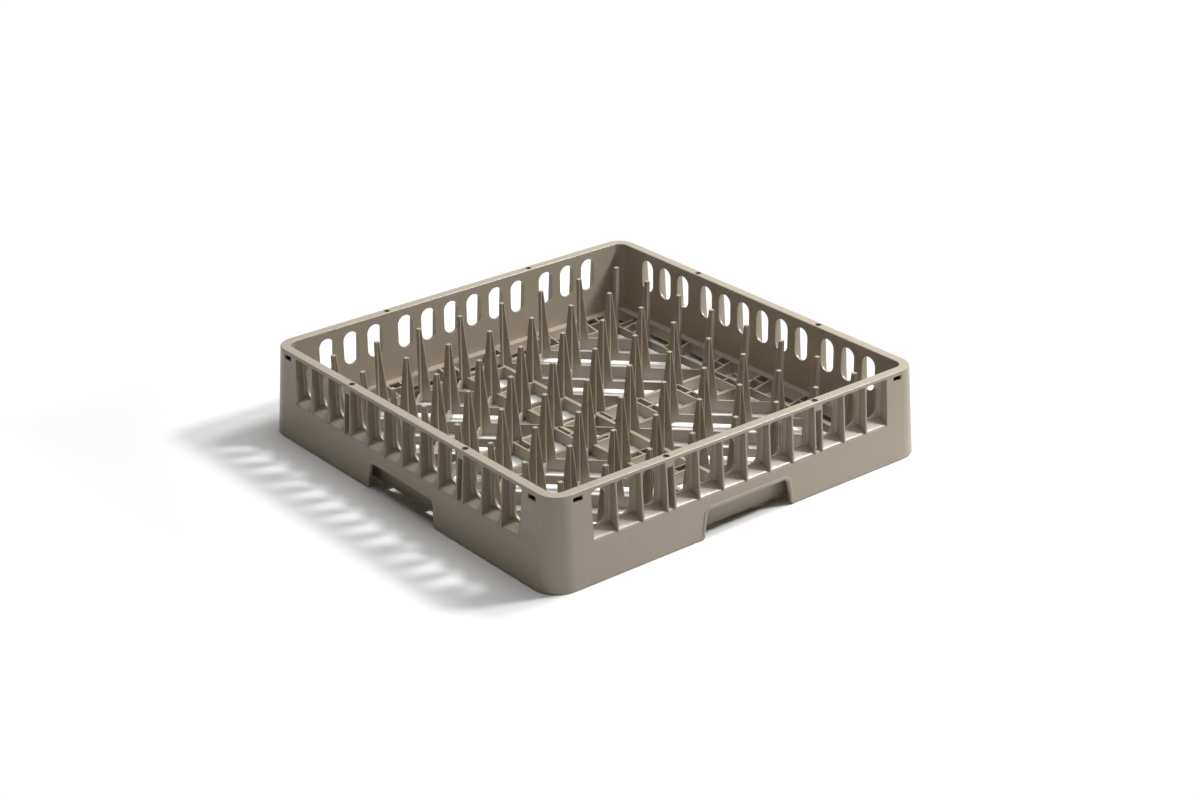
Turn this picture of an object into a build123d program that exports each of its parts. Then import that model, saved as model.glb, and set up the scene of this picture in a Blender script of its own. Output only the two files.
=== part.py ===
from build123d import *
import os
from math import atan, atan2, degrees

# Peg rack for a commercial dishwasher: one injection moulding in polypropylene.
# Frame: millimetres, +Z up, origin on the standing surface at the middle of the square base.

# Outer form
base_width = 500.0
rack_height = 100.0
lean = 7.6
rim_breadth = 10.8
tray_corner = 10.7
skin = 3.0
inner_wall = 2.6
wall_foot = 4.2
rim_thickness = 3.5
rim_round = 1.2
base_round = 1.5

# Cuts run past the faces they open by this much
overcut = 2.0

# Bays, fins and drain slots in each side
bays_in_group = 3
corner_panel = 34.3
fin = 2.0
pair_gap = 9.5
bay_corner = 2.0
shelf = 3.0
shelf_back_height = 52.0
shelf_lip_height = 45.0
shelf_lip_run = 2.4
shelf_lip_round = 4.6
slot_width = 19.4
slot_height = 38.4
slot_middle_height = 71.9
lintel_height = 6.0

# Screw holes in the rim and vents in the corner panels
screw_hole = 7.0
vent_width = 11.5
vent_height = 5.0
vent_setback = 19.6
vent_drop = 7.0
vent_depth = 6.0

# Hand grip in the middle of each side
grip_height = 29.8
grip_top_width = 107.0
grip_base_width = 117.4
grip_corner = 6.0
grip_flare = 5.0
bead_radius = 3.0
bead_setback = 2.1
bead_proud = 0.9

# Pegs
peg_middle_gap = 58.0
peg_wall_gap = 35.5
pegs_in_half = 4
peg_height = 88.0
peg_tip = 6.0
peg_foot = 21.6
peg_fin = 2.8
peg_flat = 0.4

# Floor lattice
floor_top = 14.5
floor_bottom = 5.0
deep_rib_bottom = 1.0
rib = 2.4
channel_half = 24.7
channel_rib = 4.6
pair_half = 5.0
edge_rail_gap = 34.6
ledge_width = 8.8
ledge_top = 19.0
ledge_thickness = 2.3
ledge_rib_bottom = 6.0
ledge_corner = 5.4

# Windows between the edge rail and the wall, where the rib under the ledge stops
windows_in_half = 3
window_width = 16.3
window_end_gap = 12.8
window_bar_gap = 19.3

slope = lean / rack_height
draft = degrees(atan(slope))
base_half = base_width / 2
rim_half = base_half - lean
tray_half = rim_half - rim_breadth
tray_width = 2 * tray_half
wall_back = tray_half + inner_wall
base_corner = tray_corner + rim_breadth + lean
rim_underside = rack_height - rim_thickness
panel_edge = tray_half - corner_panel
bay_pitch = (panel_edge - pair_gap) / (2 * bays_in_group)
group_end = bays_in_group * bay_pitch
pair_middle = group_end + pair_gap / 2
peg_pitch = (tray_half - peg_wall_gap - peg_middle_gap / 2) / (pegs_in_half - 1)
edge_rail = tray_half - edge_rail_gap
rung_pitch = (edge_rail - pair_half) / (pegs_in_half - 0.5)
window_room = edge_rail - window_end_gap - window_width - channel_half
window_pitch = window_room / (windows_in_half - 1)
ledge_inside = tray_half - ledge_width
sides = [Rot(0, 0, turn) for turn in (0, 90, 180, 270)]


def outer_half(z):
    """Distance from the middle to the drafted outer face at height z."""
    return base_half - slope * z


def drafted_block(inset, low, high):
    """Rounded square block whose sides lean in with the outer face, set in by a wall."""
    width = 2 * (outer_half(low) - inset)
    plan = Pos(0, 0, low) * RectangleRounded(width, width, base_corner - slope * low - inset)
    return extrude(plan, high - low, taper=draft)


def square_ring(outside, inside, radius, low, high):
    """Upright square ring with rounded corners."""
    wall_radius = radius + (outside - inside) / 2
    plan = RectangleRounded(outside, outside, wall_radius) - RectangleRounded(inside, inside, radius)
    return extrude(Pos(0, 0, low) * plan, high - low)


def front_profile(points, half_length):
    """Prism along X from points given as (distance out from the middle, height)."""
    outline = Polyline(*[(-out, z) for out, z in points], close=True)
    return extrude(Plane.YZ * make_face(outline), half_length, both=True)


def wall_shell():
    """Drafted outer form with the tray opened through it and its rim edges rounded."""
    block = drafted_block(0, 0, rack_height)
    tray_plan = RectangleRounded(tray_width, tray_width, tray_corner)
    shell = block - extrude(tray_plan, rack_height)
    shell = fillet(shell.faces().sort_by(Axis.Z)[-1].edges(), rim_round)
    return fillet(shell.faces().sort_by(Axis.Z)[0].outer_wire().edges(), base_round)


def skirt_hollow():
    """Space between the skin and the inner wall, open below and closed by the shelf and rim."""
    foot = drafted_block(skin, 0, wall_foot)
    gap = drafted_block(skin, 0, rim_underside)
    gap -= extrude(RectangleRounded(2 * wall_back, 2 * wall_back, tray_corner + inner_wall), rim_underside)
    corner_start = panel_edge + skin
    corner_size = base_half - corner_start
    corner_middle = corner_start + corner_size / 2
    corner_box = Box(corner_size, corner_size, rim_underside)
    corner_box = Pos(corner_middle, corner_middle, rim_underside / 2) * corner_box
    corners = [turn * (gap & corner_box) for turn in sides]
    under_shelf = front_profile(
        [
            (wall_back, 0),
            (wall_back, shelf_back_height - shelf),
            (outer_half(shelf_lip_height) - skin, shelf_lip_height - shelf),
            (outer_half(0) - skin, 0),
        ],
        corner_start + overcut,
    )
    return [foot] + corners + [turn * under_shelf for turn in sides]


def recess(left, right, top):
    """Outside pocket in the front side between two fins, over the sloping shelf with its rounded lip."""
    width = right - left - fin
    depth = base_half - wall_back
    middle = (left + right) / 2
    plan = Pos(middle, -wall_back - depth) * RectangleRounded(width, 2 * depth, bay_corner)
    pocket = extrude(plan, top)
    corner = Vector(-outer_half(shelf_lip_height), shelf_lip_height)
    back = Vector(-wall_back, shelf_back_height)
    low = shelf_lip_height - shelf_lip_run
    lip_top = corner + (back - corner).normalized() * shelf_lip_run
    lip_foot = Vector(-outer_half(low), low)
    lip = RadiusArc(lip_top, lip_foot, -shelf_lip_round)
    above = Polyline(
        lip_foot,
        (-base_half - overcut, low),
        (-base_half - overcut, top),
        (-wall_back, top),
        back,
        lip_top,
    )
    section = extrude(Plane.YZ * make_face([lip] + above.edges()), base_half, both=True)
    return pocket & section


def side_openings():
    """Bays, narrow channels, drain slots, screw holes and vents of one side, the front one."""
    cuts = []
    group_starts = (0, group_end + pair_gap)
    bay_starts = [start + n * bay_pitch for start in group_starts for n in range(bays_in_group)]
    stadium = Plane.XZ * SlotOverall(slot_height, slot_width, rotation=90)
    slot = extrude(stadium, inner_wall + 2 * overcut)
    slot = Pos(0, -tray_half + overcut, slot_middle_height) * slot
    channel = recess(group_end, group_end + pair_gap, rim_underside - lintel_height)
    hole = Cylinder(screw_hole / 2, 2 * (rim_thickness + lintel_height + overcut))
    hole = Pos(pair_middle, -tray_half - rim_breadth / 2, rack_height) * hole
    vent = Box(vent_width, 2 * vent_depth, vent_height)
    vent = Pos(tray_half - vent_setback, -rim_half, rack_height - vent_drop) * vent
    bay = recess(0, bay_pitch, rim_underside)
    for start in bay_starts:
        for place in (start, -start - bay_pitch):
            cuts.append(Pos(place, 0, 0) * bay)
            cuts.append(Pos(place + bay_pitch / 2, 0, 0) * slot)
    for piece in (channel, hole, vent):
        cuts.append(piece)
        cuts.append(mirror(piece, Plane.YZ))
    return cuts


def window_places():
    """Both ends of each window in the floor's edge, counted out from the middle of a side."""
    starts = [channel_half + n * window_pitch for n in range(windows_in_half)]
    return [(start, start + window_width) for start in starts]


def window_blocks(inside, outside, low, high):
    """Blocks over the windows of the front side and over the last gap beside the edge rail."""
    spans = window_places()
    spans.append((spans[-1][1], edge_rail))
    blocks = []
    for start, end in spans:
        block = Box(end - start, outside - inside, high - low)
        block = Pos((start + end) / 2, -(inside + outside) / 2, (low + high) / 2) * block
        blocks.append(block)
        blocks.append(mirror(block, Plane.YZ))
    return blocks


def window_frame():
    """Bars round the windows of the front side, rising from the edge rail to the ledge."""
    reach = tray_half + inner_wall / 2
    middle = tray_half - window_bar_gap
    middle_top = floor_top + (ledge_top - floor_top) * (middle - edge_rail) / (ledge_inside - edge_rail)
    rising = [
        (edge_rail, floor_bottom),
        (edge_rail, floor_top),
        (ledge_inside, ledge_top),
        (reach, ledge_top),
        (reach, floor_bottom),
    ]
    side_bar = front_profile(rising, rib / 2)
    bars = []
    for start, end in window_places():
        cross = Box(end - start, rib, middle_top - floor_bottom)
        cross = Pos((start + end) / 2, -middle, (middle_top + floor_bottom) / 2) * cross
        for piece in (Pos(start, 0, 0) * side_bar, Pos(end, 0, 0) * side_bar, cross):
            bars.append(piece)
            bars.append(mirror(piece, Plane.YZ))
    return bars


def grip_outline(margin):
    """Outline of the hand grip seen from the front, widened by a margin, with its foot below ground."""
    low = -overcut
    top = grip_height + margin
    top_half = grip_top_width / 2 + margin
    base_half_width = grip_base_width / 2 + margin
    foot_half = base_half_width + 2 * grip_flare
    points = [(foot_half, low), (foot_half, 0), (base_half_width, 0), (top_half, top)]
    mirrored = [(-x, z) for x, z in reversed(points)]
    face = make_face(Polyline(*points, *mirrored, close=True))
    top_corners = face.vertices().filter_by(lambda v: v.Y > top / 2)
    face = fillet(top_corners, grip_corner + margin)
    feet = face.vertices().filter_by(lambda v: abs(v.Y) < top / 4 and abs(v.X) < foot_half - grip_flare)
    return fillet(feet, grip_flare)


def grip_bead():
    """Rounded bead on the outer face round the front hand grip, cut off at the ground and the base."""
    face = Plane(origin=(0, -base_half, 0), x_dir=(1, 0, 0), z_dir=(0, -1, slope))
    around = grip_outline(bead_setback).face().outer_wire().edges()
    course = around.filter_by(lambda edge: edge.center().Y > bead_setback / 4)
    course = face * Pos(0, 0, bead_proud - bead_radius) * Wire(course)
    round_bar = sweep(Plane(course ^ 0) * Circle(bead_radius), path=course)
    return round_bar & Pos(0, 0, rack_height / 2) * Box(base_width, base_width, rack_height)


def grip_cut():
    """Opening of the front hand grip through the skin."""
    return Pos(0, -wall_back - overcut, 0) * extrude(Plane.XZ * grip_outline(0), base_half)


def peg_places():
    """Peg rows counted out from the middle, on one half of an axis."""
    return [peg_middle_gap / 2 + n * peg_pitch for n in range(pegs_in_half)]


def peg_plate(start_full, end_full):
    """One of the two crossing plates of a peg, along X, tapering to the tip where it may."""
    half_tip = peg_tip / 2
    taper = (peg_foot - peg_tip) / 2 / (peg_height - floor_top)
    half_foot = half_tip + taper * (peg_height - floor_bottom)
    start = -half_foot if start_full else -half_tip
    end = half_foot if end_full else half_tip
    tip = [(-half_tip, peg_height), (half_tip, peg_height)]
    outline = Polyline((start, floor_bottom), *tip, (end, floor_bottom), close=True)
    plate = extrude(Plane.XZ * make_face(outline), peg_fin / 2, both=True)
    long_edges = plate.edges().filter_by(lambda edge: edge.length > peg_height / 2)
    return fillet(long_edges, (peg_fin - peg_flat) / 2)


def pegs():
    """All pegs, each a cross of two plates on the diagonals, upright on the sides near a wall."""
    plates = {(a, b): peg_plate(a, b) for a in (True, False) for b in (True, False)}
    half = peg_places()
    rows = [-c for c in reversed(half)] + half
    last = half[-1]
    pieces = []
    for x in rows:
        for y in rows:
            place = Pos(x, y, 0)
            inward = {(sx, sy): x * sx < last and y * sy < last for sx in (-1, 1) for sy in (-1, 1)}
            pieces.append(place * Rot(0, 0, 45) * plates[inward[-1, -1], inward[1, 1]])
            pieces.append(place * Rot(0, 0, -45) * plates[inward[-1, 1], inward[1, -1]])
    return pieces


def bar(start, end, low, breadth=rib):
    """Straight upright rib of the floor between two points in plan."""
    run = Vector(*end) - Vector(*start)
    middle = (Vector(*end) + Vector(*start)) / 2
    turn = degrees(atan2(run.Y, run.X))
    height = floor_top - low
    return Pos(middle.X, middle.Y, low + height / 2) * Rot(0, 0, turn) * Box(run.length, breadth, height)


def diagonal_ribs(first, last):
    """Diagonal ribs through the pegs of the quarter with positive X and Y, deep and shallow in turn."""
    ribs = []
    lines = 2 * pegs_in_half - 1
    for n in range(-pegs_in_half, pegs_in_half + 1):
        shift = n * peg_pitch
        if last - first - abs(shift) > rib:
            low = deep_rib_bottom if n % 2 == 0 else floor_bottom
            start = (first + max(0, shift), first + max(0, -shift))
            end = (last - max(0, -shift), last - max(0, shift))
            ribs.append(bar(start, end, low))
    for n in range(lines):
        total = peg_middle_gap + n * peg_pitch
        low_end = max(first, total - last)
        high_end = min(last, total - first)
        if high_end - low_end > rib:
            low = deep_rib_bottom if n % 2 == 1 else floor_bottom
            ribs.append(bar((low_end, high_end), (high_end, low_end), low))
    return ribs


def floor_lattice():
    """Rails, rungs and diagonals of the open floor, and the ledge and bars that join it to the wall."""
    reach = tray_half + inner_wall / 2
    pieces = []
    for turn in sides:
        quarter = window_frame()
        rail_ends = (-edge_rail, channel_half), (edge_rail, channel_half)
        quarter.append(bar(*rail_ends, deep_rib_bottom, channel_rib))
        quarter.append(bar((-reach, edge_rail), (reach, edge_rail), floor_bottom))
        for n in range(pegs_in_half):
            middle = (n + 0.5) * rung_pitch
            inner = max(middle - pair_half, channel_half)
            outer = middle + pair_half
            for rung in (inner, outer):
                quarter.append(bar((rung, -channel_half), (rung, channel_half), deep_rib_bottom))
            quarter.append(bar((inner, 0), (outer, 0), floor_bottom))
        quarter += diagonal_ribs(channel_half, edge_rail)
        pieces += [turn * piece for piece in quarter]
    pieces.append(bar((-channel_half, -channel_half), (channel_half, channel_half), floor_bottom))
    pieces.append(bar((-channel_half, channel_half), (channel_half, -channel_half), floor_bottom))
    ledge_outside = tray_width + inner_wall
    rib_outside = 2 * (ledge_inside + rib)
    ledge_bottom = ledge_top - ledge_thickness
    ledge = square_ring(ledge_outside, 2 * ledge_inside, ledge_corner, ledge_bottom, ledge_top)
    ledge += square_ring(rib_outside, 2 * ledge_inside, ledge_corner, ledge_rib_bottom, ledge_top)
    gaps = window_blocks(ledge_inside - overcut, tray_half, ledge_rib_bottom - overcut, ledge_bottom)
    pieces.append(ledge - [turn * gap for turn in sides for gap in gaps])
    return pieces


def peg_rack():
    """The whole moulding as one solid."""
    beads = [turn * grip_bead() for turn in sides]
    openings = side_openings()
    openings.append(grip_cut())
    cuts = skirt_hollow()
    for turn in sides:
        cuts += [turn * cut for cut in openings]
    walls = (wall_shell() + beads) - cuts
    inside = Part() + (floor_lattice() + pegs())
    return walls + inside


rack = peg_rack()
rack.label = "peg_rack"
os.makedirs("parts", exist_ok=True)
export_step(rack, "parts/peg_rack.step")
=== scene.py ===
from math import radians

import bpy
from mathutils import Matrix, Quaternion, Vector

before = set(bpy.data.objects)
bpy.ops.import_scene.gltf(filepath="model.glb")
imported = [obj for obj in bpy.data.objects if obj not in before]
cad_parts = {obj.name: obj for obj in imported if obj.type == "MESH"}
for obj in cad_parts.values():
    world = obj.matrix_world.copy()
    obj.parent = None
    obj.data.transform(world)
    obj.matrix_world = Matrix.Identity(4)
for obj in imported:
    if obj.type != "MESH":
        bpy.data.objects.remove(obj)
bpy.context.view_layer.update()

# Rack
# The whole rack is one injection moulding in through-coloured polypropylene, satin from the mould.
# Its solid keeps its own mesh, and the mould's small edge radius and fine surface are added here.
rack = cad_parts["peg_rack"]
rack_beige = (0.405, 0.353, 0.274, 1.0)
rack_taupe = (0.38, 0.329, 0.252, 1.0)
polypropylene_ior = 1.49
flow_scale = 9.0
flow_detail = 3.0
smooth_skin = 0.25
dull_skin = 0.31
edge_radius = 0.0005
edge_samples = 4
grain_scale = 1600.0
grain_detail = 2.0
grain_depth = 0.0001
grain_strength = 0.15

rack_plastic = bpy.data.materials.new("rack_polypropylene")
rack_plastic.use_nodes = True
nodes = rack_plastic.node_tree.nodes
links = rack_plastic.node_tree.links
shader = nodes["Principled BSDF"]
shader.inputs["IOR"].default_value = polypropylene_ior

place = nodes.new("ShaderNodeTexCoord")

flow = nodes.new("ShaderNodeTexNoise")
flow.inputs["Scale"].default_value = flow_scale
flow.inputs["Detail"].default_value = flow_detail
links.new(place.outputs["Object"], flow.inputs["Vector"])

tone = nodes.new("ShaderNodeMix")
tone.data_type = "RGBA"
tone.inputs["A"].default_value = rack_taupe
tone.inputs["B"].default_value = rack_beige
links.new(flow.outputs["Fac"], tone.inputs["Factor"])
links.new(tone.outputs["Result"], shader.inputs["Base Color"])

sheen = nodes.new("ShaderNodeMapRange")
sheen.inputs["To Min"].default_value = smooth_skin
sheen.inputs["To Max"].default_value = dull_skin
links.new(flow.outputs["Fac"], sheen.inputs["Value"])
links.new(sheen.outputs["Result"], shader.inputs["Roughness"])

soft_edge = nodes.new("ShaderNodeBevel")
soft_edge.samples = edge_samples
soft_edge.inputs["Radius"].default_value = edge_radius

grain = nodes.new("ShaderNodeTexNoise")
grain.inputs["Scale"].default_value = grain_scale
grain.inputs["Detail"].default_value = grain_detail
links.new(place.outputs["Object"], grain.inputs["Vector"])

mould_skin = nodes.new("ShaderNodeBump")
mould_skin.inputs["Strength"].default_value = grain_strength
mould_skin.inputs["Distance"].default_value = grain_depth
links.new(grain.outputs["Fac"], mould_skin.inputs["Height"])
links.new(soft_edge.outputs["Normal"], mould_skin.inputs["Normal"])
links.new(mould_skin.outputs["Normal"], shader.inputs["Normal"])

rack.data.materials.clear()
rack.data.materials.append(rack_plastic)

# Floor
# Plain white studio sweep under the rack. It takes the rack's shadow near it,
# and is the white of the background further out.
floor_size = 12.0
shadow_middle = (-0.05, 0.03, 0.0)
shadow_reach = 0.31
white_reach = 0.44
paper_white = (0.95, 0.95, 0.95, 1.0)
dull_white = (0.80, 0.80, 0.80, 1.0)


def seeing_rays(nodes, links, rays):
    """Output that is one for rays of the camera, in a reflection or through a clear piece."""
    seen = rays.outputs["Is Camera Ray"]
    for kind in ("Is Glossy Ray", "Is Transmission Ray"):
        either = nodes.new("ShaderNodeMath")
        either.operation = "MAXIMUM"
        links.new(seen, either.inputs[0])
        links.new(rays.outputs[kind], either.inputs[1])
        seen = either.outputs["Value"]
    return seen


bpy.ops.mesh.primitive_plane_add(size=floor_size)
floor = bpy.context.object
floor.name = "studio_floor"

floor_white = bpy.data.materials.new("floor_white")
floor_white.use_nodes = True
nodes = floor_white.node_tree.nodes
links = floor_white.node_tree.links
nodes.clear()
paper = nodes.new("ShaderNodeBsdfDiffuse")
paper.inputs["Color"].default_value = paper_white
dull_paper = nodes.new("ShaderNodeBsdfDiffuse")
dull_paper.inputs["Color"].default_value = dull_white
backdrop = nodes.new("ShaderNodeEmission")
place = nodes.new("ShaderNodeTexCoord")
offset = nodes.new("ShaderNodeVectorMath")
offset.operation = "SUBTRACT"
offset.inputs[1].default_value = shadow_middle
links.new(place.outputs["Object"], offset.inputs[0])
both_ways = nodes.new("ShaderNodeVectorMath")
both_ways.operation = "ABSOLUTE"
links.new(offset.outputs["Vector"], both_ways.inputs[0])
axes = nodes.new("ShaderNodeSeparateXYZ")
links.new(both_ways.outputs["Vector"], axes.inputs["Vector"])
distance = nodes.new("ShaderNodeMath")
distance.operation = "MAXIMUM"
links.new(axes.outputs["X"], distance.inputs[0])
links.new(axes.outputs["Y"], distance.inputs[1])
fade = nodes.new("ShaderNodeMapRange")
fade.interpolation_type = "SMOOTHSTEP"
fade.inputs["From Min"].default_value = shadow_reach
fade.inputs["From Max"].default_value = white_reach
links.new(distance.outputs["Value"], fade.inputs["Value"])
rays = nodes.new("ShaderNodeLightPath")
sheet = nodes.new("ShaderNodeMixShader")
links.new(rays.outputs["Is Camera Ray"], sheet.inputs["Fac"])
links.new(dull_paper.outputs["BSDF"], sheet.inputs[1])
links.new(paper.outputs["BSDF"], sheet.inputs[2])
share = nodes.new("ShaderNodeMath")
share.operation = "MULTIPLY"
links.new(fade.outputs["Result"], share.inputs[0])
links.new(seeing_rays(nodes, links, rays), share.inputs[1])
mixed = nodes.new("ShaderNodeMixShader")
links.new(share.outputs["Value"], mixed.inputs["Fac"])
links.new(sheet.outputs["Shader"], mixed.inputs[1])
links.new(backdrop.outputs["Emission"], mixed.inputs[2])
output = nodes.new("ShaderNodeOutputMaterial")
links.new(mixed.outputs["Shader"], output.inputs["Surface"])
floor.data.materials.append(floor_white)

# Light
# One small key lamp high on the right throws the slotted shadow to the left.
# A soft box above it lights the sloping shelves, and a wide one overhead fills the rest.
room_level = 0.02
world = bpy.data.worlds.new("studio")
bpy.context.scene.world = world
world.use_nodes = True
nodes = world.node_tree.nodes
links = world.node_tree.links
nodes.clear()
room = nodes.new("ShaderNodeBackground")
room.inputs["Strength"].default_value = room_level
white = nodes.new("ShaderNodeBackground")
rays = nodes.new("ShaderNodeLightPath")
mixed = nodes.new("ShaderNodeMixShader")
links.new(seeing_rays(nodes, links, rays), mixed.inputs["Fac"])
links.new(room.outputs["Background"], mixed.inputs[1])
links.new(white.outputs["Background"], mixed.inputs[2])
output = nodes.new("ShaderNodeOutputWorld")
links.new(mixed.outputs["Shader"], output.inputs["Surface"])

rack_middle = Vector((0.0, 0.0, 0.05))


def lamp(name, position, size, power):
    """Round soft box at a place, turned to face the middle of the rack."""
    data = bpy.data.lights.new(name, "AREA")
    data.shape = "DISK"
    data.size = size
    data.energy = power
    made = bpy.data.objects.new(name, data)
    made.location = position
    made.rotation_mode = "QUATERNION"
    made.rotation_quaternion = (rack_middle - Vector(position)).to_track_quat("-Z", "Y")
    bpy.context.scene.collection.objects.link(made)


lamp("key", position=(1.34, -0.75, 1.65), size=0.36, power=33.0)
lamp("right", position=(1.35, -0.2, 2.0), size=0.55, power=25.0)
lamp("overhead", position=(0.3, 0.0, 2.4), size=2.4, power=36.0)

# Camera
# A long lens looks at the near corner from above, with a slight roll,
# and sees two outer sides and the inside of the two far walls.
view_azimuth = radians(-38.9055)
view_elevation = radians(24.848)
view_roll = radians(-0.553)
view_distance = 2.55123
view_target = Vector((0.01662, 0.00622, 0.03878))
lens_length = 71.3
sensor_width = 36.0
camera_data = bpy.data.cameras.new("camera")
camera_data.lens = lens_length
camera_data.sensor_width = sensor_width
camera = bpy.data.objects.new("camera", camera_data)
level = Quaternion((0, 0, 1), view_azimuth) @ Vector((0, -1, 0))
side = level.cross(Vector((0, 0, 1)))
back = Quaternion(side, view_elevation) @ level
camera.location = view_target + back * view_distance
camera.rotation_mode = "QUATERNION"
camera.rotation_quaternion = (-back).to_track_quat("-Z", "Y") @ Quaternion((0, 0, 1), view_roll)
bpy.context.scene.collection.objects.link(camera)
bpy.context.scene.camera = camera

bpy.context.scene.view_settings.view_transform = "Standard"
